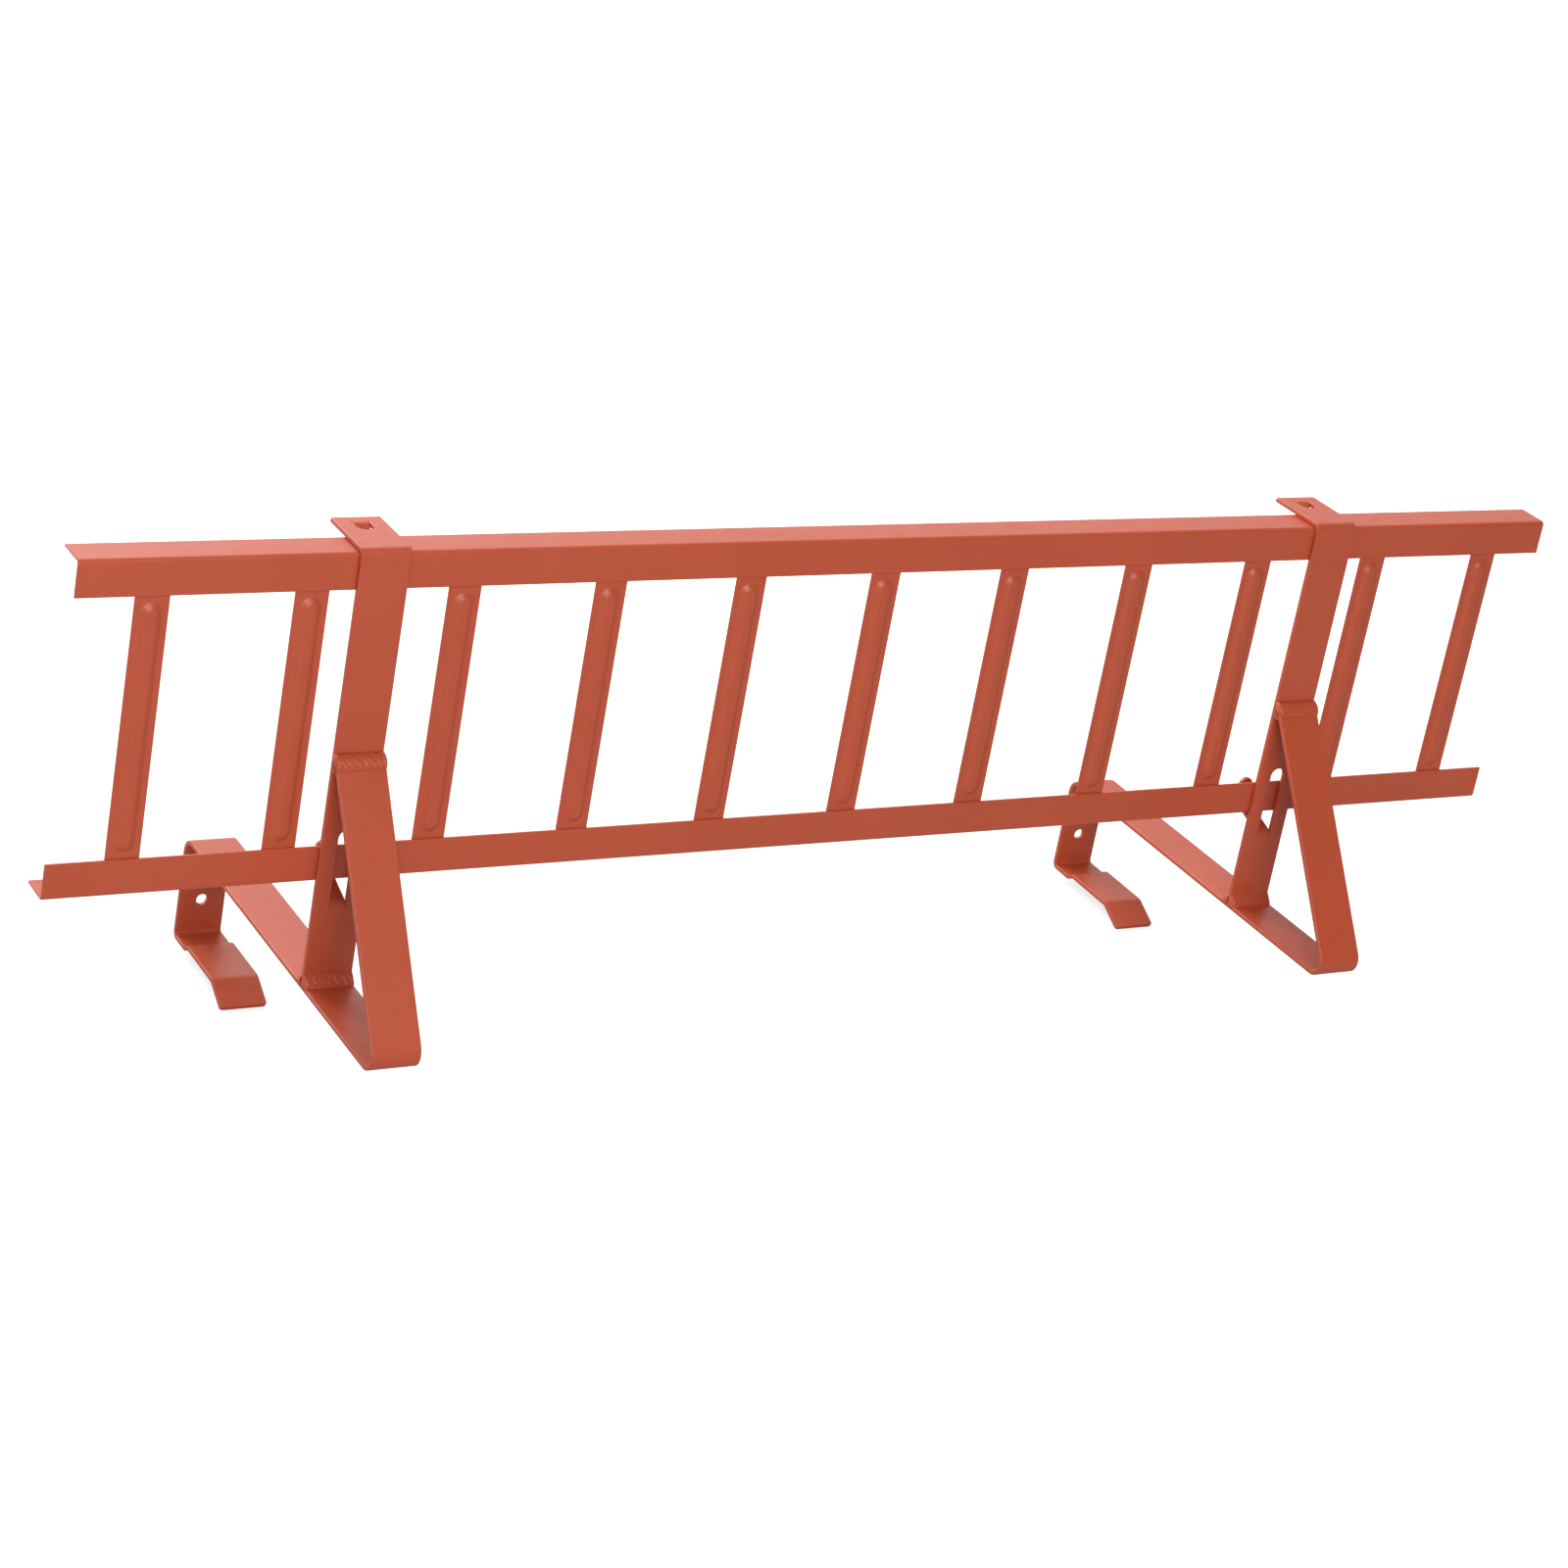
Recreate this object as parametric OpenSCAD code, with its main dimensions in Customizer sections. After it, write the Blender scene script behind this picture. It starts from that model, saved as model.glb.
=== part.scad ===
// Roof snow guard fence: a lattice panel on two welded roof hooks, each of which slides along
// it between two rungs.
// X runs along the eaves, +Y points up the roof, +Z is up.
// X 0 is the middle of the panel, Y 0 the front face of the hooks' rear plates and Z 0 the
// underside of their bases, which rest on the tile.

/* [Panel] */
// Length of the lattice panel along the eaves
panel_length = 1000; // [990:1:1010]
// Height of the lattice panel
panel_height = 200; // [180:1:240]
// Height of each rail's upright flange
rail_face = 22; // [18:1:26]
// Depth of each rail's lying flange
rail_depth = 23; // [18:1:24]
// Sheet thickness of the rails
rail_gauge = 1.5; // [1.5:0.1:2]
// Inside bend radius of the rails
rail_bend = 1; // [0.5:0.1:1]

/* [Rungs] */
// Distance from the panel's end to the first rung's centre line
rung_margin = 44; // [42:1:46]
// Width of a rung
rung_width = 20; // [18:0.5:24]
// Sheet thickness of the rungs
rung_gauge = 1; // [0.8:0.1:1.2]
// Width of the pressed bead that stiffens a rung
bead_width = 12.4; // [10:0.1:14]
// Height of the pressed bead, which stands proud of the rails and stops a sliding bracket
bead_height = 2.2; // [1.6:0.1:2.4]
// Flat left between the bead's end and the rail's flange
bead_gap = 4; // [2:0.5:8]

/* [Brackets] */
// Distance between the two roof hooks' centre lines
bracket_spacing = 652; // [630:1:670]
// Width of the flat bar
bar_width = 30; // [28:1:32]
// Thickness of the flat bar
bar_gauge = 3; // [2.5:0.1:3.2]
// Running gap between a bracket and the panel
slide_gap = 0.25; // [0.2:0.05:0.5]
// Height of the panel's lower edge above the tile
panel_lift = 67.5; // [60:0.5:75]
// Distance from the upright's rear face to the rear plate
base_reach = 188.75; // [170:0.25:210]
// Distance that the top tab reaches over the panel, from the upright's rear face
tab_reach = 44.5; // [40:0.5:50]
// Angle of the brace above the base
brace_angle = 53.5; // [50:0.5:56]
// Distance from the upright's rear face to the start of the front bend
nose_reach = 94; // [85:1:100]
// Inside radius of the front and rear bends
wide_bend = 7; // [5:0.5:8]

/* [Roof hook] */
// Free height between the base and the hook's lower run
hook_gap = 60.5; // [55:0.5:70]
// Length of the lower run, from the rear plate to the lip's bend
run_length = 62; // [50:1:70]
// Length of the lip
lip_length = 19.5; // [14:0.5:24]
// Angle of the lip below the lower run
lip_angle = 27.5; // [20:0.5:40]
// Radius of the lip's corners
lip_corner = 2; // [1:0.5:4]
// Diameter of the screw hole in the rear plate
hole_d = 7; // [5:0.5:8]
// Distance of the screw hole below the base
hole_drop = 41; // [35:0.5:46]

/* [Tongues] */
// Width of the windows that the tongues are cut from
window_width = 10; // [8:0.5:12]
// Saw gap on each side of a tongue
kerf = 0.2; // [0.1:0.05:0.4]
// Height of the lower tongue's fold above the base's underside
fold_height = 51.6; // [46:0.2:54]
// Height of the lower window's rounded top above the base's underside
window_top = 100; // [96:1:104]
// Slope of the lower tongue under the panel
tongue_slope = 18; // [14:1:20]
// Length of the lower tongue's sloping stretch
tongue_run = 24.4; // [24:0.1:26]
// Length of the lower tongue's upturned end
tongue_tip = 14.3; // [10:0.1:16]
// Distance from the upright's rear face to the locking tongue's fold
lock_fold = 37.5; // [36:0.5:39]
// Length of the locking tongue's window
lock_length = 11.7; // [10:0.1:12]
// Angle that the locking tongue is pressed down
lock_angle = 40; // [30:1:60]

/* [Welds] */
// Overhang of a weld bead past each side of the bar
weld_overhang = 0.8; // [0.2:0.1:1]

/* [Hidden] */
$fn = 48;
paint = "#B95B43";
rung_count = 11;
bite = 1; // how far a cutter passes through a face
bend_step = 6; // angle of one facet in a bend that is not square

rung_pitch = (panel_length - 2 * rung_margin) / (rung_count - 1);
panel_left = -panel_length / 2;
panel_top = panel_lift + panel_height;
upright_back = -base_reach; // rear face of the uprights
upright_front = upright_back - bar_gauge;
panel_y = upright_back + slide_gap; // front face of the rails
rung_y = panel_y + rail_gauge; // front face of the rungs
mid = bar_gauge / 2;
tight_bend = 2; // inside radius of the small bends
top_bend = 1; // inside radius over the rail's corner
joggle_bend = 3.5;
joggle_angle = 30;
joggle_start = 15.3; // from the rear plate to the joggle
lip_bend = 5;
tongue_width = window_width - 2 * kerf;
tongue_corner = tongue_width / 2 - 0.1;

sides = ["left", "right"];
function rung_name(i) = str("rung_", i < 10 ? "0" : "", i);
pieces = ["upright", "hook_bar", "brace_weld", "brace_root_weld", "foot_weld_front", "foot_weld_rear"];

// Turns a profile drawn in X and Y, with its width along Z, so that the profile stands in Y and Z.
module stand() {
    rotate([90, 0, 90]) children();
}

// A flat bar with square bends, drawn in X and Y with its width centred on Z.
// Each step is [straight length, turn of 90, -90 or 0 degrees, inside radius]; it starts on the
// bar's mid line.
module square_bar(path, width, gauge, i = 0) {
    if (i < len(path)) {
        length = path[i][0];
        turn = path[i][1];
        inner = path[i][2];
        side = turn < 0 ? -1 : 1;
        centre = side * (inner + gauge / 2);
        translate([0, -gauge / 2, -width / 2]) cube([length, gauge, width]);
        translate([length, centre, 0]) {
            if (turn != 0)
                rotate([0, 0, turn < 0 ? 0 : -90]) translate([0, 0, -width / 2])
                    rotate_extrude(angle = 90) translate([inner, 0]) square([gauge, width]);
            rotate([0, 0, turn]) translate([0, -centre, 0])
                square_bar(path, width, gauge, i + 1);
        }
    }
}

// The stations along a bent bar's mid line, each [point, heading].
function stations(path, gauge, p = [0, 0], a = 0, i = 0) =
    i == len(path) ? [] :
    let(
        turn = path[i][1],
        r = (turn < 0 ? -1 : 1) * (path[i][2] + gauge / 2),
        q = p + path[i][0] * [cos(a), sin(a)],
        centre = q + r * [-sin(a), cos(a)],
        n = ceil(abs(turn) / bend_step),
        arc = [for (k = [1:n]) let(b = a + turn * k / n) [centre + r * [sin(b), -cos(b)], b]]
    )
    concat(
        i == 0 ? [[p, a]] : [],
        path[i][0] > 0 ? [[q, a]] : [],
        n > 0 ? arc : [],
        stations(path, gauge, n > 0 ? arc[n - 1][0] : q, a + turn, i + 1)
    );

function last(list) = list[len(list) - 1];

// The same flat bar with bends of any angle; the steps are those of square_bar.
module bent_bar(path, width, gauge) {
    line = stations(path, gauge);
    upper = [for (s = line) s[0] + gauge / 2 * [-sin(s[1]), cos(s[1])]];
    lower = [for (s = line) s[0] - gauge / 2 * [-sin(s[1]), cos(s[1])]];
    translate([0, 0, -width / 2]) linear_extrude(width)
        polygon(concat(upper, [for (k = [len(lower) - 1:-1:0]) lower[k]]));
}

// A bent bar whose far end has two rounded corners.
module tipped_bar(path, width, gauge, corner) {
    end = last(stations(path, gauge));
    difference() {
        bent_bar(path, width, gauge);
        translate([end[0][0], end[0][1], 0]) rotate([0, 0, end[1]])
            for (s = [0, 1]) mirror([0, 0, s])
                translate([-corner, 0, width / 2 - corner]) rotate([90, 0, 0])
                    translate([0, 0, -gauge]) linear_extrude(2 * gauge)
                        polygon(concat(
                            [for (a = [0:10:90]) corner * [sin(a), cos(a)]],
                            [[corner + bite, 0], [corner + bite, corner + bite], [0, corner + bite]]
                        ));
    }
}

// ---- panel ----

// An angle rail with its corner at the origin; the lying flange points to +Y.
module angle_rail() {
    corner = rail_bend + rail_gauge;
    path = [[rail_face - corner, -90, rail_bend], [rail_depth - corner, 0, 0]];
    translate([panel_length / 2, 0, -rail_face]) stand()
        translate([rail_gauge / 2, 0, 0]) rotate([0, 0, 90])
            square_bar(path, panel_length, rail_gauge);
}

module top_rail() {
    color(paint) translate([panel_left, panel_y, panel_top]) angle_rail();
}

module bottom_rail() {
    color(paint) translate([panel_left, panel_y, panel_lift]) mirror([0, 0, 1]) angle_rail();
}

// A capsule that lies along Z; its front makes the bead and its back hollows it.
module bead_form(radius, bottom, top) {
    translate([0, 0, bottom]) cylinder(h = top - bottom, r = radius, $fn = 96);
    for (z = [bottom, top]) translate([0, 0, z]) sphere(r = radius, $fn = 96);
}

// A flat strip with a long bead pressed towards the front.
module rung(i) {
    x = panel_left + rung_margin + (i - 1) * rung_pitch;
    clear = rail_gauge + rail_bend + 0.5;
    bottom = panel_lift + clear;
    top = panel_top - clear;
    radius = (pow(bead_width / 2, 2) + pow(bead_height, 2)) / (2 * bead_height);
    end = rail_face + bead_gap + bead_width / 2;
    form = [panel_lift + end, panel_top - end];
    axis_y = radius - bead_height;
    color(paint) translate([x, rung_y, 0]) difference() {
        union() {
            translate([-rung_width / 2, 0, bottom]) cube([rung_width, rung_gauge, top - bottom]);
            intersection() {
                translate([0, axis_y, 0]) bead_form(radius, form[0], form[1]);
                translate([-rung_width / 2, -2 * bead_height, bottom])
                    cube([rung_width, 2 * bead_height + rung_gauge / 2, top - bottom]);
            }
        }
        translate([0, axis_y, 0]) bead_form(radius - rung_gauge, form[0], form[1]);
    }
}

// ---- brackets ----

// The hooking tongue: back under the rail, then up behind its flange.
module hook_tongue() {
    turn = 90 - tongue_slope;
    path = [[0, -turn, tight_bend], [tongue_run, turn, tight_bend], [tongue_tip, 0, 0]];
    stand() translate([upright_back - mid, fold_height, 0]) rotate([0, 0, 90])
        tipped_bar(path, tongue_width, bar_gauge, tongue_corner);
}

// The locking tongue, pressed down behind the upper rail's flange.
module lock_tongue(tab_z) {
    arc = (top_bend + mid) * lock_angle * PI / 180;
    path = [[0, lock_angle, top_bend], [lock_length - arc - kerf, 0, 0]];
    stand() translate([upright_back + lock_fold, tab_z, 0]) rotate([0, 0, 180])
        tipped_bar(path, tongue_width, bar_gauge, tongue_corner);
}

module upright() {
    tab_z = panel_top + slide_gap + mid;
    rise = tab_z - top_bend - mid - bar_gauge;
    tab = tab_reach - top_bend;
    path = [[rise, -90, top_bend], [tab, 0, 0]];
    arch = window_width / 2;
    difference() {
        stand() translate([upright_back - mid, bar_gauge, 0]) rotate([0, 0, 90])
            square_bar(path, bar_width, bar_gauge);
        translate([0, upright_front - bite, 0]) {
            translate([-arch, 0, fold_height])
                cube([window_width, bar_gauge + 2 * bite, window_top - fold_height - arch]);
            translate([0, 0, window_top - arch]) rotate([-90, 0, 0])
                cylinder(h = bar_gauge + 2 * bite, r = arch);
        }
        translate([0, upright_back + lock_fold, tab_z - mid - bite]) {
            translate([-arch, arch - lock_length, 0])
                cube([window_width, lock_length - arch, bar_gauge + 2 * bite]);
            translate([0, arch - lock_length, 0]) cylinder(h = bar_gauge + 2 * bite, r = arch);
        }
    }
    hook_tongue();
    lock_tongue(tab_z);
}

// The brace's length, from the front bend to its square end against the upright.
outer = wide_bend + bar_gauge;
nose_y = upright_back - nose_reach; // where the front bend starts
brace_run = (upright_front - nose_y + wide_bend * sin(brace_angle)) / cos(brace_angle) - 0.3;

// Brace, front bend and the front part of the base, drawn forwards from the upright's foot.
module brace_bar() {
    path = [[nose_reach, brace_angle - 180, wide_bend], [brace_run, 0, 0]];
    stand() translate([upright_back, mid, 0]) rotate([0, 0, 180])
        bent_bar(path, bar_width, bar_gauge);
}

// The rear part of the base, the rear plate, the lower run and the lip.
module roof_hook() {
    plate = hook_gap + bar_gauge - wide_bend - tight_bend;
    square_path = [
        [base_reach - wide_bend, -90, wide_bend],
        [plate, -90, tight_bend],
    ];
    joggle_mid = joggle_bend + mid;
    joggle = (bar_gauge - 2 * joggle_mid * (1 - cos(joggle_angle))) / sin(joggle_angle);
    joggle_end = joggle_start + 2 * joggle_mid * sin(joggle_angle) + joggle * cos(joggle_angle);
    run_path = [
        [joggle_start - tight_bend, -joggle_angle, joggle_bend],
        [joggle, joggle_angle, joggle_bend],
        [run_length - joggle_end, lip_angle, lip_bend],
        [lip_length, 0, 0],
    ];
    stand() translate([upright_back, mid, 0]) square_bar(square_path, bar_width, bar_gauge);
    stand() translate([-tight_bend, -hook_gap - bar_gauge - mid, 0]) rotate([0, 0, 180])
        tipped_bar(run_path, bar_width, bar_gauge, lip_corner);
}

// One bar bent into the brace, the base and the roof hook.
module hook_bar() {
    difference() {
        union() {
            brace_bar();
            roof_hook();
        }
        translate([0, 0, -hole_drop]) rotate([-90, 0, 0])
            cylinder(h = 3 * bar_gauge, d = hole_d, center = true);
    }
}

// A weld bead: an outline in Y and Z, measured from the upright's foot, along the bar's width.
module bead(outline, from_y) {
    width = bar_width + 2 * weld_overhang;
    translate([0, from_y, bar_gauge]) stand() translate([0, 0, -width / 2])
        linear_extrude(width) polygon(outline);
}

// Height, over the base's top, where the brace's rear face meets the upright.
root_z = outer - bar_gauge + wide_bend * cos(brace_angle)
    + (upright_front - nose_y + wide_bend * sin(brace_angle)) * tan(brace_angle);

module brace_weld() {
    top = [[0, root_z], [0, root_z + 3.7], [-2.8, root_z + 3.2], [-5.6, root_z + 1.5],
        [-7.6, root_z - 1], [-7.9, root_z - 3], [-7.1, root_z - 5]];
    difference() {
        bead(top, upright_front);
        wide_brace();
    }
}

module brace_root_weld() {
    difference() {
        bead([[0, root_z], [0, root_z - 9], [-2.6, root_z - 8], [-6.4, root_z - 8.8]], upright_front);
        wide_brace();
    }
}

// The brace, as wide as a weld bead, that the beads are cut back to.
module wide_brace() {
    translate([0, nose_y, outer]) rotate([brace_angle, 0, 0])
        translate([-bar_width, 0, wide_bend])
            cube([2 * bar_width, brace_run, bar_gauge]);
}

module foot_weld_front() {
    bead([[0, 0], [0, 7], [-1.9, 6.6], [-4.9, 1.8], [-5.5, 0]], upright_front);
}

module foot_weld_rear() {
    bead([[0, 0], [5.4, 0], [4.8, 2], [1.8, 5.4], [0, 6]], upright_back);
}

module bracket_piece(piece) {
    color(paint) {
        if (piece == "upright") upright();
        if (piece == "hook_bar") hook_bar();
        if (piece == "brace_weld") brace_weld();
        if (piece == "brace_root_weld") brace_root_weld();
        if (piece == "foot_weld_front") foot_weld_front();
        if (piece == "foot_weld_rear") foot_weld_rear();
    }
}

top_rail();
bottom_rail();
for (i = [1:rung_count])
    rung(i);
for (s = [0, 1]) for (p = pieces)
    translate([(s - 0.5) * bracket_spacing, 0, 0]) bracket_piece(p);
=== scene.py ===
from math import pi, radians, sin, sqrt

import bmesh
import bpy
from mathutils import Matrix, Vector


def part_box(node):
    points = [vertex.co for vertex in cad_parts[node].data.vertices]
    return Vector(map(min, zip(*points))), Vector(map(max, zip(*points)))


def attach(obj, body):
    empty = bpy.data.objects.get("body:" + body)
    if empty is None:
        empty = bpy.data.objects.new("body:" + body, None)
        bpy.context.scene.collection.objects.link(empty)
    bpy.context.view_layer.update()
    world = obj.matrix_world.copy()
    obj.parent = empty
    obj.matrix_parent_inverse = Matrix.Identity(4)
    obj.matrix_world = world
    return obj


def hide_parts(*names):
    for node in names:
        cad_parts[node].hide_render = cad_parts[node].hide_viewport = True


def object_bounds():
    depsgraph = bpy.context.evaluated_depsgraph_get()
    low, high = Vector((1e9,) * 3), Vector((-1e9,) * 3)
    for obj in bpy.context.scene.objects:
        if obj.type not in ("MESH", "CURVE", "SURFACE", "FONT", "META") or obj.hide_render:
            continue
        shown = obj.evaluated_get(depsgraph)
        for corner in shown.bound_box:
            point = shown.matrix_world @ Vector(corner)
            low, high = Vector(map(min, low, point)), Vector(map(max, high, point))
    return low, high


bl_info = {
    "name": "Roof Snow Guard Fence",
    "version": (1, 0, 0),
    "blender": (4, 5, 0),
    "location": "3D View > Sidebar > Snow Guard",
    "description": "Finishes a powder coated snow guard: sheet panel, bent hooks, weld beads",
    "category": "Add Mesh",
}

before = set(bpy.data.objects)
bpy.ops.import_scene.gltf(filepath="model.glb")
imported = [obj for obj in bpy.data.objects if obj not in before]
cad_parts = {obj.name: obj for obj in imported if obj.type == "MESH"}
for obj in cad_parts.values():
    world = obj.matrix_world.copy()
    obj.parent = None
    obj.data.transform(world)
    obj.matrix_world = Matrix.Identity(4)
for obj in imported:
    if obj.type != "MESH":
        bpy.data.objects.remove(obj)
cad_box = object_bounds()
SIDES = ("left", "right")
RUNGS = sorted(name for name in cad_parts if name.startswith("rung_"))
MM = 0.001
WHITE = (1, 1, 1, 1)

# Corners closer than this are one corner, and faces flatter than this are one face.
SAME_PLACE = 1e-6
SAME_PLANE = radians(0.8)
# Edges sharper than these are rounded; the facets of a bend are not.
RAIL_CREASE = radians(40)
RUNG_CREASE = radians(60)
BAR_CREASE = radians(32)
WELD_CREASE = radians(55)
# A convex corner is rounded in this many steps.
EDGE_STEPS = 3
RUNG_EDGE_STEPS = 2
# How far large faces win over small ones in the smoothed shading; 50 is even.
AREA_WEIGHT = 60

RUNG_GAUGE = 1 * MM
# Distance from a rung's end to the middle of its spot weld.
SPOT_FROM_END = 9 * MM
# The shares of the bead's half width that its crown and then its flank take up, and the share
# of its height by which the crown falls towards the flank.
CROWN_SHARE = 0.4
FLANK_SHARE = 0.64
CROWN_FALL = 0.07
# Distances in mm at which the bead's flank needs a line of corners, both across the rung and
# round the bead's end, and those at which only one of the two does.
FLANK_LINES = (0, 1.2, 2.2, 2.8, 3.3, 3.7, 4.1, 4.5, 4.9, 5.3, 5.7, 6.0, 6.3)
FLANK_LINES_ACROSS = (6.6, 7.2, 8.6)
FLANK_LINES_ALONG = (6.8, 8.6)
# Distances in mm from a spot weld's middle at which its dimple needs a line of corners.
SPOT_LINES = (-3.2, -2.5, -1.8, -1, 0, 1, 1.8, 2.5, 3.2)


def linear(code):
    """A hex colour as linear red, green, blue and alpha, by the sRGB curve."""
    parts = [int(code[i:i + 2], 16) / 255 for i in (1, 3, 5)]
    return tuple(
        c / 12.92 if c <= 0.04045 else ((c + 0.055) / 1.055) ** 2.4 for c in parts) + (1,)


def colour(name, code, description):
    return bpy.props.FloatVectorProperty(
        name=name, description=description, subtype="COLOR", size=4, min=0, max=1,
        default=linear(code))


def length(name, mm, description):
    return bpy.props.FloatProperty(
        name=name, description=description, default=mm * MM, min=0, unit="LENGTH", precision=5)


class PanelSettings(bpy.types.PropertyGroup):
    rail_edge: length("Rail edge radius", 0.4, "Rounding of the rails' sheared, painted edges")
    rung_edge: length("Rung edge radius", 0.3, "Rounding of the rungs' sheared, painted edges")
    bead_width: length("Bead width", 12.4, "Width of the pressed bead on a rung")
    bead_height: length("Bead height", 2.2, "Height of the pressed bead on a rung")
    bead_start: length("Bead start", 26, "Distance from the panel's edge to the bead's end")
    spot_radius: length("Spot weld radius", 2.6, "Radius of the dimples on the back of a rung")
    spot_depth: length("Spot weld depth", 0.25, "Depth of the dimples on the back of a rung")


class BracketSettings(bpy.types.PropertyGroup):
    bar_edge: length("Bar edge radius", 0.7, "Rounding of the rolled flat bar's edges")
    ripple_pitch: length("Ripple pitch", 4.4, "Distance between two ripples of a weld bead")
    ripple_depth: length("Ripple depth", 0.34, "Depth of the ripples in a weld bead")
    weld_end: length("Weld end radius", 1.8, "Rounding of a weld bead's two ends")


class PaintSettings(bpy.types.PropertyGroup):
    coat: colour("Powder coat", "#C05233", "Colour of the powder coat")
    coat_thin: colour("Thin coat", "#B34B2D", "Colour where the powder coat lies thinner")
    roughness: bpy.props.FloatProperty(
        name="Roughness", description="Surface roughness of the cured powder coat",
        default=0.38, min=0, max=1)
    peel: length("Orange peel", 1.1, "Distance between two waves of the coat's orange peel")


class StageSettings(bpy.types.PropertyGroup):
    floor: colour("Floor", "#ABABAB", "Colour of the studio floor")
    lens: bpy.props.FloatProperty(
        name="Lens", description="Focal length on a 36 mm sensor", default=85.2, min=20,
        max=300, unit="CAMERA")
    camera_place: bpy.props.FloatVectorProperty(
        name="Camera", description="Place of the camera", subtype="XYZ", unit="LENGTH",
        default=(-1.1444, -1.9049, 0.9933))
    camera_turn: bpy.props.FloatVectorProperty(
        name="Camera turn", description="Turn of the camera", subtype="EULER",
        default=(radians(68.634), radians(-9.777), radians(-28.372)))
    camera_shift: bpy.props.FloatProperty(
        name="Camera shift", description="Vertical shift of the camera's view", default=-0.1)


# ---- nodes ----

def add(tree, kind, inputs=None, **settings):
    """Adds a node, sets it up and links or fills its inputs, which go by name or number."""
    made = tree.nodes.new(kind)
    for key, value in settings.items():
        setattr(made, key, value)
    for key, value in (inputs or {}).items():
        socket = made.inputs[key]
        if isinstance(value, bpy.types.NodeSocket):
            tree.links.new(value, socket)
        else:
            socket.default_value = value
    return made


def ramp(tree, value, start, end, low, high, smooth=False):
    """A value that goes from low to high while another goes from start to end."""
    return add(tree, "ShaderNodeMapRange", {
        "Value": value, "From Min": start, "From Max": end, "To Min": low, "To Max": high},
        interpolation_type="SMOOTHSTEP" if smooth else "LINEAR").outputs["Result"]


def shape_tree(name, sizes):
    """An empty Geometry Nodes tree with a geometry input, the named sizes and a material."""
    tree = bpy.data.node_groups.new(name, "GeometryNodeTree")
    face = tree.interface
    face.new_socket("Geometry", in_out="OUTPUT", socket_type="NodeSocketGeometry")
    face.new_socket("Geometry", in_out="INPUT", socket_type="NodeSocketGeometry")
    for label, kind in sizes:
        face.new_socket(label, in_out="INPUT", socket_type=kind)
    face.new_socket("Paint", in_out="INPUT", socket_type="NodeSocketMaterial")
    return tree, tree.nodes.new("NodeGroupInput").outputs, tree.nodes.new("NodeGroupOutput")


def close_tree(tree, geometry, paint, out):
    """Ends a tree in real, painted geometry."""
    real = add(tree, "GeometryNodeRealizeInstances", {0: geometry})
    done = add(tree, "GeometryNodeSetMaterial", {
        "Geometry": real.outputs[0], "Material": paint})
    tree.links.new(done.outputs[0], out.inputs[0])
    return tree


def plain(piece, name):
    """The evaluated piece as a new plain mesh object; the one with the modifiers is removed."""
    bpy.context.view_layer.update()
    graph = bpy.context.evaluated_depsgraph_get()
    mesh = bpy.data.meshes.new_from_object(
        piece.evaluated_get(graph), preserve_all_data_layers=True, depsgraph=graph)
    bpy.data.objects.remove(piece)
    mesh.name = name
    made = bpy.data.objects.new(name, mesh)
    bpy.context.scene.collection.objects.link(made)
    return made


def grown(mesh, tree, values, name):
    """A mesh run through a Geometry Nodes tree, as a plain mesh object."""
    piece = bpy.data.objects.new(name + "_seed", mesh)
    bpy.context.scene.collection.objects.link(piece)
    modifier = piece.modifiers.new("Nodes", "NODES")
    modifier.node_group = tree
    for item in tree.interface.items_tree:
        if item.in_out == "INPUT" and item.name in values:
            modifier[item.identifier] = values[item.name]
    return plain(piece, name)


def shade_smooth(mesh):
    mesh.polygons.foreach_set("use_smooth", [True] * len(mesh.polygons))


def rounded(piece, name, radius, crease, steps=EDGE_STEPS):
    """The piece with its sharp edges rounded and its shading smoothed, as a plain mesh."""
    shade_smooth(piece.data)
    bevel = piece.modifiers.new("Edges", "BEVEL")
    bevel.width = radius
    bevel.segments = steps
    bevel.limit_method = "ANGLE"
    bevel.angle_limit = crease
    bevel.use_clamp_overlap = False
    bevel.harden_normals = True
    weigh = piece.modifiers.new("Shading", "WEIGHTED_NORMAL")
    weigh.keep_sharp = True
    weigh.weight = AREA_WEIGHT
    return plain(piece, name)


def finished(piece, body, slot, *nodes):
    """Hands a finished piece over to the frame."""
    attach(piece, body)
    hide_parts(*nodes)


def clean_copy(node):
    """A merged copy of a CAD node's mesh, with its flat faces made whole again."""
    piece = bpy.data.objects.new(node + "_copy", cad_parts[node].data.copy())
    bpy.context.scene.collection.objects.link(piece)
    work = bmesh.new()
    work.from_mesh(piece.data)
    bmesh.ops.remove_doubles(work, verts=work.verts, dist=SAME_PLACE)
    bmesh.ops.dissolve_limit(
        work, angle_limit=SAME_PLANE, verts=work.verts, edges=work.edges)
    work.to_mesh(piece.data)
    work.free()
    return piece


# ---- paint ----

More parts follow.
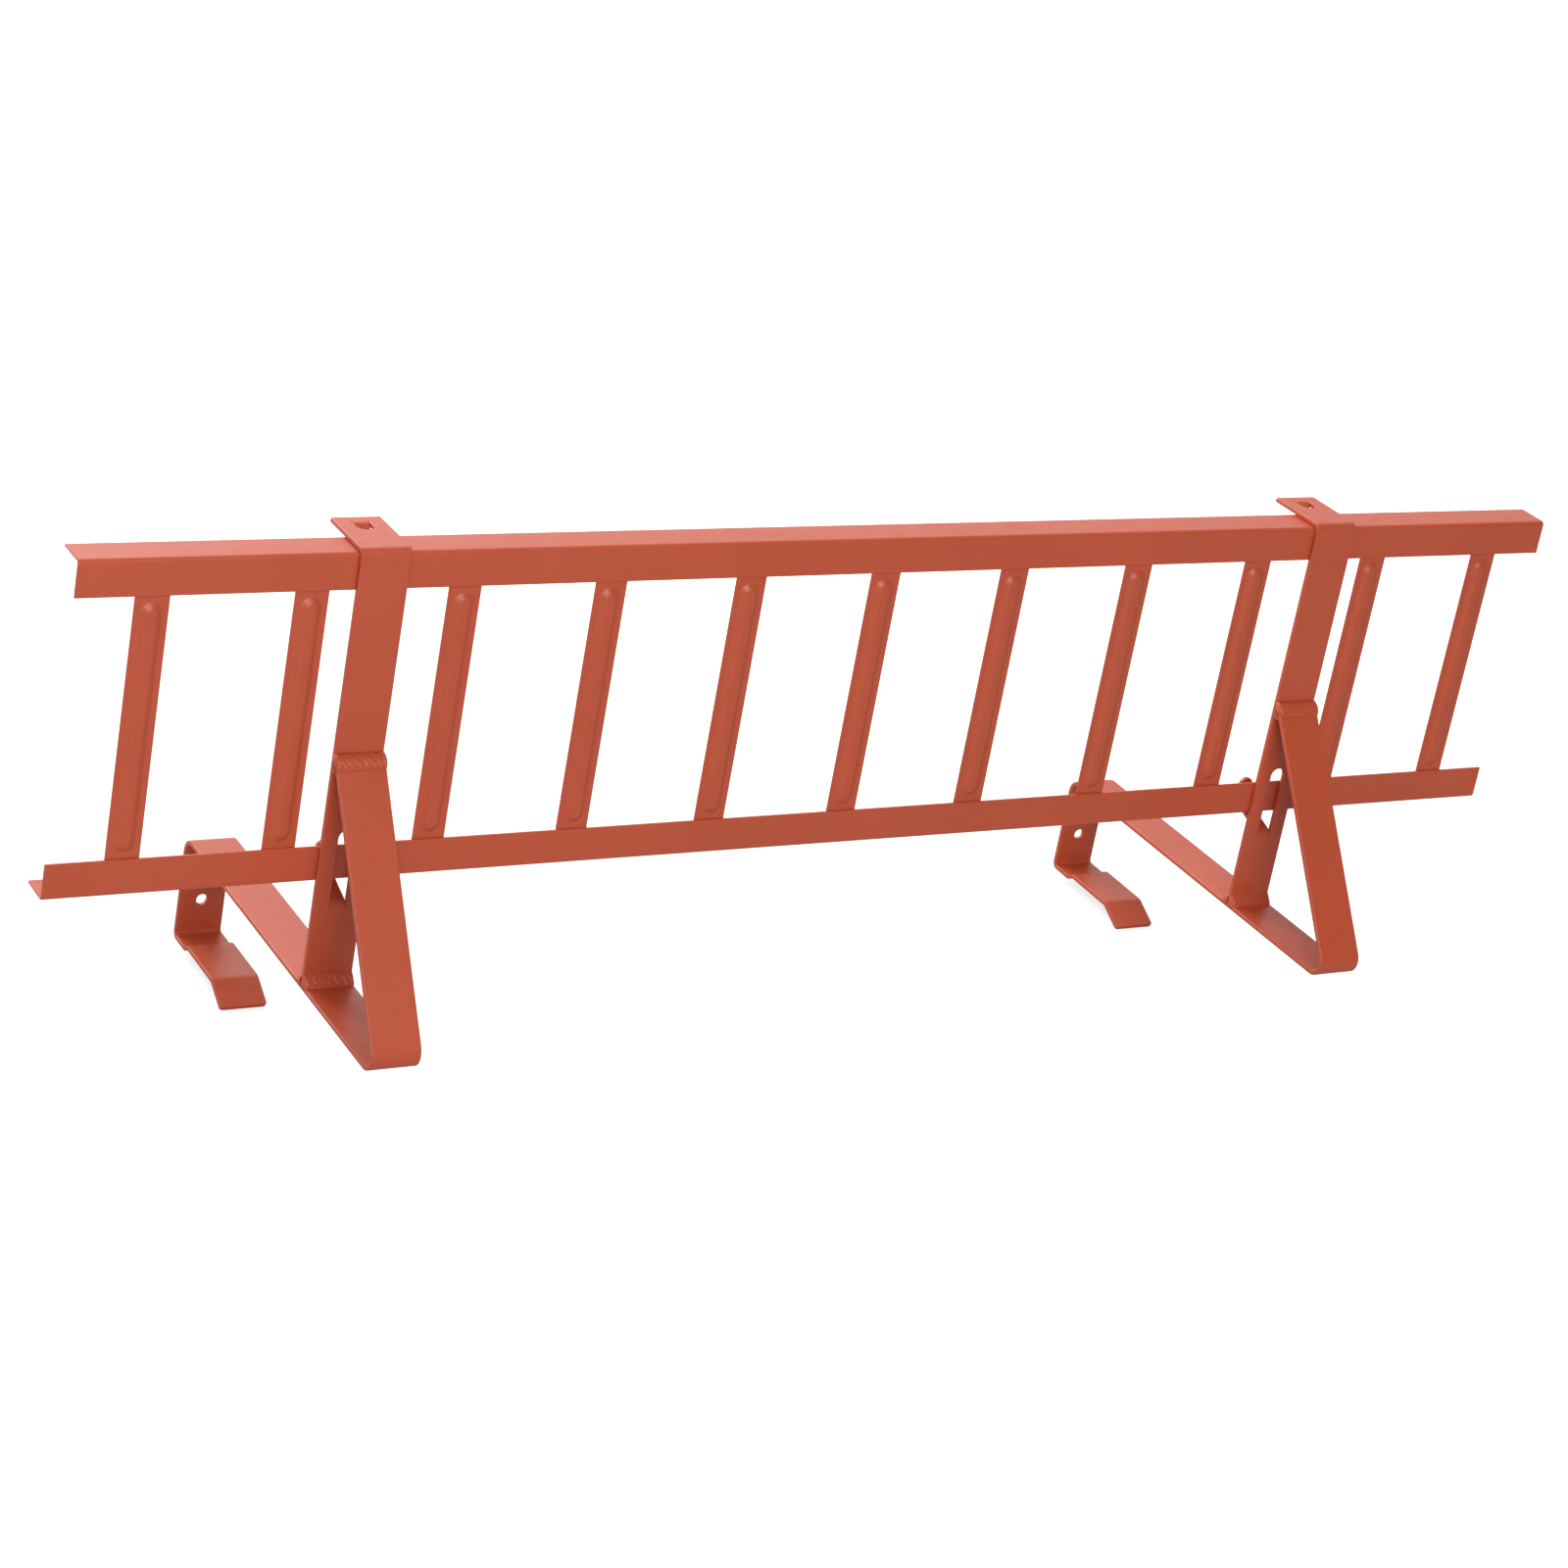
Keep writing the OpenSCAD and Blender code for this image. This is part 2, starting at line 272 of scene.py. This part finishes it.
def powder_coat(name, wave_strength):
    """Polyester powder coat, sprayed on and baked: satin, with a faint orange peel that blurs
    reflections, and a little less colour where the film is thin. The steel's own slow waves
    show through the film."""
    paint = bpy.context.scene.snow_guard_paint
    material = bpy.data.materials.new(name)
    material.use_nodes = True
    tree = material.node_tree
    tree.nodes.clear()
    place = add(tree, "ShaderNodeTexCoord").outputs["Object"]

    def noise(size, detail, **more):
        """Noise whose features are about as large as the given size."""
        return add(tree, "ShaderNodeTexNoise", {
            "Vector": place, "Scale": 1 / size, "Detail": detail, **more}).outputs[0]

    # The film's thickness drifts over about 60 mm.
    drift = noise(60 * MM, 3)
    tint = add(tree, "ShaderNodeMix", {
        "Factor": drift, 6: paint.coat_thin, 7: paint.coat}, data_type="RGBA")
    # Cured powder is a little rougher in patches of about 9 mm.
    gloss = ramp(
        tree, noise(9 * MM, 2), 0.3, 0.7, paint.roughness - 0.03, paint.roughness + 0.05)
    peel = add(tree, "ShaderNodeBump", {
        "Height": noise(paint.peel, 1.5, Roughness=0.4),
        "Strength": 0.22, "Distance": 0.12 * MM})
    waves = add(tree, "ShaderNodeBump", {
        "Height": noise(7 * MM, 1), "Normal": peel.outputs["Normal"],
        "Strength": wave_strength, "Distance": 0.4 * MM})
    shader = add(tree, "ShaderNodeBsdfPrincipled", {
        "Base Color": tint.outputs[2], "Roughness": gloss,
        "Normal": waves.outputs["Normal"], "IOR": 1.5})
    add(tree, "ShaderNodeOutputMaterial", {"Surface": shader.outputs[0]})
    return material


def coat_of(kind):
    """The two finishes, each made once: even sheet for the panel, wavier bar for the hooks."""
    name, wave_strength = {
        "sheet": ("powder_coated_sheet_steel", 0.12),
        "bar": ("powder_coated_bar_steel", 0.35)}[kind]
    return bpy.data.materials.get(name) or powder_coat(name, wave_strength)


def paint_piece(piece, kind):
    piece.data.materials.clear()
    piece.data.materials.append(coat_of(kind))


# ---- panel ----

class SNOWGUARD_OT_rails(bpy.types.Operator):
    """The two folded angle rails, with their sheared edges rounded by the paint"""
    bl_idname = "snowguard.rails"
    bl_label = "Rails"

    def execute(self, context):
        panel = context.scene.snow_guard_panel
        for node in ("top_rail", "bottom_rail"):
            rail = rounded(clean_copy(node), node + "_sheet", panel.rail_edge, RAIL_CREASE)
            paint_piece(rail, "sheet")
            finished(rail, "panel", "panel_paint", node)
        return {"FINISHED"}


def bead_rise(across, along, half_run, panel):
    """Height of the pressed bead at a point of the strip: a low crown with soft flanks."""
    away = sqrt(across ** 2 + max(0, abs(along) - half_run) ** 2) / (panel.bead_width / 2)
    part = min(1, max(0, (away - CROWN_SHARE) / FLANK_SHARE))
    # Half a straight flank and half a smooth one leave a soft line at the foot.
    flank = 0.5 * part + 0.5 * part * part * (3 - 2 * part)
    return panel.bead_height * (1 - flank) * (1 - CROWN_FALL * min(1, away) ** 2)


def spot_dip(across, along, spot, panel):
    """Depth of the spot welds' dimples at a point of the strip."""
    away = sqrt(across ** 2 + (abs(along) - spot) ** 2) / panel.spot_radius
    return panel.spot_depth * (0 if away > 1 else (1 - away ** 2) ** 2)


def mirrored(half):
    """A row of distances from 0 up, with the same distances below 0 before it."""
    return [-step for step in reversed(half[1:])] + half


def outline(rows):
    """The rim of a grid of corners, once round."""
    right = [row[-1] for row in rows[1:]]
    left = [row[0] for row in rows[-2:0:-1]]
    return rows[0] + right + rows[-1][-2::-1] + left


def rung_mesh(node, panel):
    """One rung: a sheared strip with a bead pressed forwards and a spot weld at each end."""
    low, high = (Vector(c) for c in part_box(node))
    middle = (low + high) / 2
    half_width = (high.x - low.x) / 2
    half_height = (high.z - low.z) / 2
    panel_edge = min(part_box("bottom_rail")[0][2], low.z)
    half_run = middle.z - panel_edge - panel.bead_start - panel.bead_width / 2
    spot = half_height - SPOT_FROM_END
    xs = mirrored([x * MM for x in FLANK_LINES + FLANK_LINES_ACROSS] + [half_width])
    ends = [half_run + z * MM for z in FLANK_LINES + FLANK_LINES_ALONG]
    dimple = [spot + z * MM for z in SPOT_LINES]
    zs = mirrored(sorted(
        [0, half_run / 3, half_run * 2 / 3] + ends + dimple + [half_height]))
    work = bmesh.new()
    rims = []
    for is_rear in (False, True):
        rows = []
        for z in zs:
            row = []
            for x in xs:
                y = high.y - bead_rise(x, z, half_run, panel)
                y -= spot_dip(x, z, spot, panel) if is_rear else RUNG_GAUGE
                row.append(work.verts.new((middle.x + x, y, middle.z + z)))
            rows.append(row)
        for i in range(len(zs) - 1):
            for j in range(len(xs) - 1):
                work.faces.new((
                    rows[i][j], rows[i][j + 1], rows[i + 1][j + 1], rows[i + 1][j]))
        rims.append(outline(rows))
    front, rear = rims
    for k in range(len(front)):
        n = (k + 1) % len(front)
        work.faces.new((front[k], rear[k], rear[n], front[n]))
    bmesh.ops.recalc_face_normals(work, faces=work.faces)
    mesh = bpy.data.meshes.new("rung")
    work.to_mesh(mesh)
    work.free()
    return mesh


def rung_row_tree():
    """Sets copies of a rung out along the panel at an even pitch."""
    tree, given, out = shape_tree("Rung Row", [
        ("Count", "NodeSocketInt"), ("Pitch", "NodeSocketFloat")])
    step = add(tree, "ShaderNodeCombineXYZ", {"X": given["Pitch"]})
    places = add(tree, "GeometryNodeMeshLine", {
        "Count": given["Count"], "Offset": step.outputs[0]})
    row = add(tree, "GeometryNodeInstanceOnPoints", {
        "Points": places.outputs[0], "Instance": given["Geometry"]})
    return close_tree(tree, row.outputs[0], given["Paint"], out)


class SNOWGUARD_OT_rungs(bpy.types.Operator):
    """The rungs of the lattice, one pressed strip set out along the panel"""
    bl_idname = "snowguard.rungs"
    bl_label = "Rungs"

    def execute(self, context):
        panel = context.scene.snow_guard_panel
        seed = bpy.data.objects.new("rung_seed", rung_mesh(RUNGS[0], panel))
        context.scene.collection.objects.link(seed)
        one = rounded(seed, "rung_one", panel.rung_edge, RUNG_CREASE, RUNG_EDGE_STEPS)
        mesh = one.data
        bpy.data.objects.remove(one)
        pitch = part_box(RUNGS[1])[0][0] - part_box(RUNGS[0])[0][0]
        rungs = grown(mesh, rung_row_tree(), {
            "Count": len(RUNGS), "Pitch": pitch, "Paint": coat_of("sheet")}, "rungs_pressed")
        finished(rungs, "panel", "panel_paint", *RUNGS)
        return {"FINISHED"}


# ---- brackets ----

def bar_pieces(context, part):
    """The same bar of both hooks, rounded and painted."""
    bracket = context.scene.snow_guard_bracket
    for side in SIDES:
        node = side + "_" + part
        bar = rounded(clean_copy(node), node + "_steel", bracket.bar_edge, BAR_CREASE)
        paint_piece(bar, "bar")
        finished(bar, side + "_bracket", "bracket_paint", node)


class SNOWGUARD_OT_uprights(bpy.types.Operator):
    """The uprights with their top tabs, windows and pressed tongues"""
    bl_idname = "snowguard.uprights"
    bl_label = "Uprights"

    def execute(self, context):
        bar_pieces(context, "upright")
        return {"FINISHED"}


class SNOWGUARD_OT_hook_bars(bpy.types.Operator):
    """The long bars bent into brace, base and roof hook"""
    bl_idname = "snowguard.hook_bars"
    bl_label = "Hook bars"

    def execute(self, context):
        bar_pieces(context, "hook_bar")
        return {"FINISHED"}


def weld_tree():
    """A weld bead: a section carried along X, rippled by the welder's weave and a little
    uneven."""
    stations = 110
    # Scale of the weave's unevenness, per metre, and by how many ripples it shifts the weave.
    uneven_scale = 260.0
    uneven_shift = 1.5
    # At its very end the bead is the square root of 1 - end_fall of its full section.
    end_fall = 0.72
    # Below 1, ripples are broad crests with narrow valleys.
    crest_power = 0.6
    tree, given, out = shape_tree("Weld Bead", [
        ("Start", "NodeSocketFloat"), ("End", "NodeSocketFloat"),
        ("End Radius", "NodeSocketFloat"), ("Ripple Pitch", "NodeSocketFloat"),
        ("Ripple Depth", "NodeSocketFloat"), ("Slant", "NodeSocketFloat"),
        ("Seed", "NodeSocketFloat")])

    def calc(operation, a, b=0.0):
        return add(tree, "ShaderNodeMath", {0: a, 1: b}, operation=operation).outputs[0]

    first = add(tree, "ShaderNodeCombineXYZ", {"X": given["Start"]})
    final = add(tree, "ShaderNodeCombineXYZ", {"X": given["End"]})
    path = add(tree, "GeometryNodeCurvePrimitiveLine", {
        "Start": first.outputs[0], "End": final.outputs[0]})
    path = add(tree, "GeometryNodeResampleCurve", {"Curve": path.outputs[0], "Count": stations})
    section = add(tree, "GeometryNodeMeshToCurve", {0: given["Geometry"]})
    bead = add(tree, "GeometryNodeCurveToMesh", {
        "Curve": path.outputs[0], "Profile Curve": section.outputs[0], "Fill Caps": True})
    place = add(tree, "GeometryNodeInputPosition").outputs[0]
    parts = add(tree, "ShaderNodeSeparateXYZ", {0: place}).outputs
    # The ends fall away in a quarter round.
    near = calc("MINIMUM", calc("SUBTRACT", parts["X"], given["Start"]),
                calc("SUBTRACT", given["End"], parts["X"]))
    inside = calc("MINIMUM", calc("DIVIDE", near, given["End Radius"]), 1.0)
    short = calc("SUBTRACT", 1.0, calc("MAXIMUM", inside, 0.0))
    fall = calc("MULTIPLY", calc("MULTIPLY", short, short), end_fall)
    round_off = calc("SQRT", calc("SUBTRACT", 1.0, fall))
    # The weave's ripples lean with the slant and vary in pitch with the noise.
    noise = add(tree, "ShaderNodeTexNoise", {
        "Vector": place, "W": given["Seed"], "Scale": uneven_scale, "Detail": 1.0},
        noise_dimensions="4D").outputs[0]
    lean = calc("MULTIPLY", given["Slant"], parts["Z"])
    ripple = calc("DIVIDE", calc("ADD", parts["X"], lean), given["Ripple Pitch"])
    wave = calc("FRACT", calc("ADD", ripple, calc("MULTIPLY", noise, uneven_shift)))
    crest = calc("POWER", calc("SINE", calc("MULTIPLY", wave, pi)), crest_power)
    normal = add(tree, "GeometryNodeInputNormal").outputs[0]
    lift = calc("SUBTRACT", calc("MULTIPLY", crest, given["Ripple Depth"]),
                given["Ripple Depth"])
    push = add(tree, "ShaderNodeVectorMath", {0: normal, "Scale": lift}, operation="SCALE")
    middle = add(tree, "ShaderNodeCombineXYZ", {"X": parts["X"]})
    shrunk = add(tree, "ShaderNodeMix", {
        "Factor": round_off, 4: middle.outputs[0], 5: place}, data_type="VECTOR")
    moved = add(tree, "ShaderNodeVectorMath", {
        0: shrunk.outputs[1], 1: push.outputs[0]}, operation="ADD")
    shaped = add(tree, "GeometryNodeSetPosition", {
        "Geometry": bead.outputs[0], "Position": moved.outputs[0]})
    return close_tree(tree, shaped.outputs[0], given["Paint"], out)


def section_mesh(points):
    """A closed line of edges in X and Y, which becomes a weld bead's section."""
    mesh = bpy.data.meshes.new("weld_section")
    edges = [(i, (i + 1) % len(points)) for i in range(len(points))]
    mesh.from_pydata([(x, y, 0) for x, y in points], edges, [])
    return mesh


def swell(toe, top, root, bulge, steps=14, fullness=0.55):
    """A weld section from one toe to the other, closed through a point in the joint: convex,
    or hollow where the bulge is negative. Fullness below 1 makes the toes steep and the
    middle flat."""
    toe, top, root = Vector(toe), Vector(top), Vector(root)
    line = top - toe
    out = Vector((line.y, -line.x)).normalized()
    if out.dot(root - toe) > 0:
        out = -out
    points = []
    for k in range(steps + 1):
        t = k / steps
        points.append(toe + line * t + out * bulge * (sin(pi * t) ** fullness))
    return points + [root]


def weld_pieces(context, part, toe, top, root, bulge, slant, seed):
    """A bead for each hook. The section's points are [along Y, along Z], in metres."""
    bracket = context.scene.snow_guard_bracket
    tree = bpy.data.node_groups.get("Weld Bead") or weld_tree()
    centre = Vector(root)
    # On a path along X, Curve to Mesh lays the section's X along -Y and its Y along -Z.
    section = [centre - point for point in swell(toe, top, root, bulge)]
    for k, side in enumerate(SIDES):
        node = side + "_" + part
        low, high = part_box(node)
        bead = grown(section_mesh(section), tree, {
            "Start": low[0], "End": high[0], "End Radius": bracket.weld_end,
            "Ripple Pitch": bracket.ripple_pitch, "Ripple Depth": bracket.ripple_depth,
            "Slant": slant, "Seed": seed + k, "Paint": coat_of("bar")}, node + "_bead")
        mesh = bead.data
        mesh.transform(Matrix.Translation((0, centre.x, centre.y)))
        work = bmesh.new()
        work.from_mesh(mesh)
        bmesh.ops.remove_doubles(work, verts=work.verts, dist=SAME_PLACE)
        bmesh.ops.recalc_face_normals(work, faces=work.faces)
        work.to_mesh(mesh)
        work.free()
        shade_smooth(mesh)
        mesh.set_sharp_from_angle(angle=WELD_CREASE)
        finished(bead, side + "_bracket", "bracket_paint", node)


class SNOWGUARD_OT_brace_welds(bpy.types.Operator):
    """The welds that close the brace's end to the upright, above and below"""
    bl_idname = "snowguard.brace_welds"
    bl_label = "Brace welds"

    def execute(self, context):
        low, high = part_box("left_brace_weld")
        face = high[1]
        weld_pieces(
            context, "brace_weld",
            toe=(face + 0.4 * MM, high[2]),
            top=(low[1] + 0.6 * MM, low[2] + 0.6 * MM),
            root=(face - 1.2 * MM, low[2] + 3.5 * MM),
            bulge=2.6 * MM, slant=0.9, seed=1.0)
        low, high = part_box("left_brace_root_weld")
        # The root weld is hollow.
        weld_pieces(
            context, "brace_root_weld",
            toe=(face + 0.4 * MM, low[2]),
            top=(low[1] - 0.6 * MM, low[2] + 0.6 * MM),
            root=(face - 0.6 * MM, high[2] - 1.5 * MM),
            bulge=-1.2 * MM, slant=0.4, seed=5.0)
        return {"FINISHED"}


class SNOWGUARD_OT_foot_welds(bpy.types.Operator):
    """The welds along both sides of the upright's foot"""
    bl_idname = "snowguard.foot_welds"
    bl_label = "Foot welds"

    def execute(self, context):
        # How far a bead's section reaches into the upright and into the base.
        into = 0.4 * MM
        low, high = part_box("left_foot_weld_front")
        weld_pieces(
            context, "foot_weld_front", toe=(high[1] + into, high[2]),
            top=(low[1], low[2] - into), root=(high[1] + into, low[2] - into),
            bulge=1.0 * MM, slant=0.7, seed=9.0)
        low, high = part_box("left_foot_weld_rear")
        weld_pieces(
            context, "foot_weld_rear", toe=(low[1] - into, high[2]),
            top=(high[1], low[2] - into), root=(low[1] - into, low[2] - into),
            bulge=1.0 * MM, slant=-0.7, seed=13.0)
        return {"FINISHED"}


# ---- stage ----

def soft_box(name, place, target, size, power):
    """A square, white studio light that points at a place."""
    light = bpy.data.lights.new(name, "AREA")
    light.size = size
    light.energy = power
    lamp = bpy.data.objects.new(name, light)
    lamp.location = place
    lamp.rotation_euler = (Vector(target) - Vector(place)).to_track_quat("-Z", "Y").to_euler()
    bpy.context.scene.collection.objects.link(lamp)


def studio_world():
    """White behind and to the left of the object, darker to the front, the right and above."""
    world = bpy.data.worlds.new("studio")
    world.use_nodes = True
    tree = world.node_tree
    tree.nodes.clear()
    aim = add(tree, "ShaderNodeTexCoord").outputs["Generated"]
    parts = add(tree, "ShaderNodeSeparateXYZ", {0: aim}).outputs
    back = ramp(tree, parts["Y"], -0.7, 0.6, 0.12, 1.34, smooth=True)
    above = ramp(tree, parts["Z"], 0.5, 0.9, 1.0, 0.6, smooth=True)
    right = ramp(tree, parts["X"], 0.2, 0.95, 1.0, 0.45, smooth=True)
    strength = add(tree, "ShaderNodeMath", {0: back, 1: above}, operation="MULTIPLY")
    strength = add(tree, "ShaderNodeMath", {
        0: strength.outputs[0], 1: right}, operation="MULTIPLY")
    light = add(tree, "ShaderNodeBackground", {
        "Color": WHITE, "Strength": strength.outputs[0]})
    add(tree, "ShaderNodeOutputWorld", {"Surface": light.outputs[0]})
    bpy.context.scene.world = world


def floor_paper(tint):
    """Matt, pale paper. It glows behind the object, as a cove lit from below does, and glows
    for the camera alone everywhere, so that it stays pale to the corners."""
    material = bpy.data.materials.new("matt_paper_floor")
    material.use_nodes = True
    tree = material.node_tree
    tree.nodes.clear()
    seen = add(tree, "ShaderNodeLightPath").outputs["Is Camera Ray"]
    place = add(tree, "ShaderNodeTexCoord").outputs["Object"]
    parts = add(tree, "ShaderNodeSeparateXYZ", {0: place}).outputs
    cove = ramp(tree, parts["Y"], 0.0, 1.2, 0.0, 0.6)
    glow = add(tree, "ShaderNodeMath", {0: seen, 1: 0.75, 2: cove}, operation="MULTIPLY_ADD")
    shader = add(tree, "ShaderNodeBsdfPrincipled", {
        "Base Color": tint, "Roughness": 0.9, "Specular IOR Level": 0.1,
        "Emission Color": WHITE, "Emission Strength": glow.outputs[0]})
    add(tree, "ShaderNodeOutputMaterial", {"Surface": shader.outputs[0]})
    return material


def studio_floor(tint):
    """A flat floor, half a millimetre below the lowest point of the part."""
    half_size = 16
    squares = 8
    gap = 0.5 * MM
    work = bmesh.new()
    bmesh.ops.create_grid(work, x_segments=squares, y_segments=squares, size=half_size)
    mesh = bpy.data.meshes.new("studio_floor")
    work.to_mesh(mesh)
    work.free()
    mesh.transform(Matrix.Translation((0, 0, cad_box[0][2] - gap)))
    mesh.materials.append(floor_paper(tint))
    floor = bpy.data.objects.new("studio_floor", mesh)
    bpy.context.scene.collection.objects.link(floor)


def studio_camera(stage):
    data = bpy.data.cameras.new("camera")
    data.sensor_width = 36
    data.lens = stage.lens
    data.shift_y = stage.camera_shift
    data.clip_end = 60
    camera = bpy.data.objects.new("camera", data)
    camera.location = stage.camera_place
    camera.rotation_euler = stage.camera_turn
    bpy.context.scene.collection.objects.link(camera)
    bpy.context.scene.camera = camera


class SNOWGUARD_OT_stage(bpy.types.Operator):
    """A pale floor, soft studio light and the camera"""
    bl_idname = "snowguard.stage"
    bl_label = "Stage"

    def execute(self, context):
        stage = context.scene.snow_guard_stage
        studio_floor(stage.floor)
        studio_world()
        soft_box("rear_overhead", (-0.4, 1.7, 2.6), (0, 0, 0.1), size=2.4, power=53)
        soft_box("rear_left", (-1.2, 2.6, 1.9), (0, 0, 0.1), size=0.8, power=26)
        soft_box("front_key", (-0.9, -2.9, 1.6), (0, -0.1, 0.1), size=2.3, power=84)
        studio_camera(stage)
        context.scene.view_settings.view_transform = "Standard"
        return {"FINISHED"}


class SNOWGUARD_PT_sidebar(bpy.types.Panel):
    """Lists the steps that finish the snow guard"""
    bl_label = "Snow Guard"
    bl_idname = "SNOWGUARD_PT_sidebar"
    bl_space_type = "VIEW_3D"
    bl_region_type = "UI"
    bl_category = "Snow Guard"

    def draw(self, context):
        for settings in SETTINGS:
            box = self.layout.box()
            group = getattr(context.scene, settings)
            for name in group.bl_rna.properties.keys():
                if name not in ("rna_type", "name"):
                    box.prop(group, name)
        for step in STEPS:
            self.layout.operator(step.bl_idname)


SETTINGS = {
    "snow_guard_panel": PanelSettings,
    "snow_guard_bracket": BracketSettings,
    "snow_guard_paint": PaintSettings,
    "snow_guard_stage": StageSettings,
}
STEPS = (
    SNOWGUARD_OT_rails,
    SNOWGUARD_OT_rungs,
    SNOWGUARD_OT_uprights,
    SNOWGUARD_OT_hook_bars,
    SNOWGUARD_OT_brace_welds,
    SNOWGUARD_OT_foot_welds,
    SNOWGUARD_OT_stage,
)


def register():
    for name, group in SETTINGS.items():
        bpy.utils.register_class(group)
        setattr(bpy.types.Scene, name, bpy.props.PointerProperty(type=group))
    for step in STEPS + (SNOWGUARD_PT_sidebar,):
        bpy.utils.register_class(step)


def unregister():
    for step in reversed(STEPS + (SNOWGUARD_PT_sidebar,)):
        bpy.utils.unregister_class(step)
    for name, group in SETTINGS.items():
        delattr(bpy.types.Scene, name)
        bpy.utils.unregister_class(group)


def main():
    register()
    for step in STEPS:
        group, name = step.bl_idname.split(".")
        getattr(getattr(bpy.ops, group), name)()


if __name__ == "__main__":
    main()
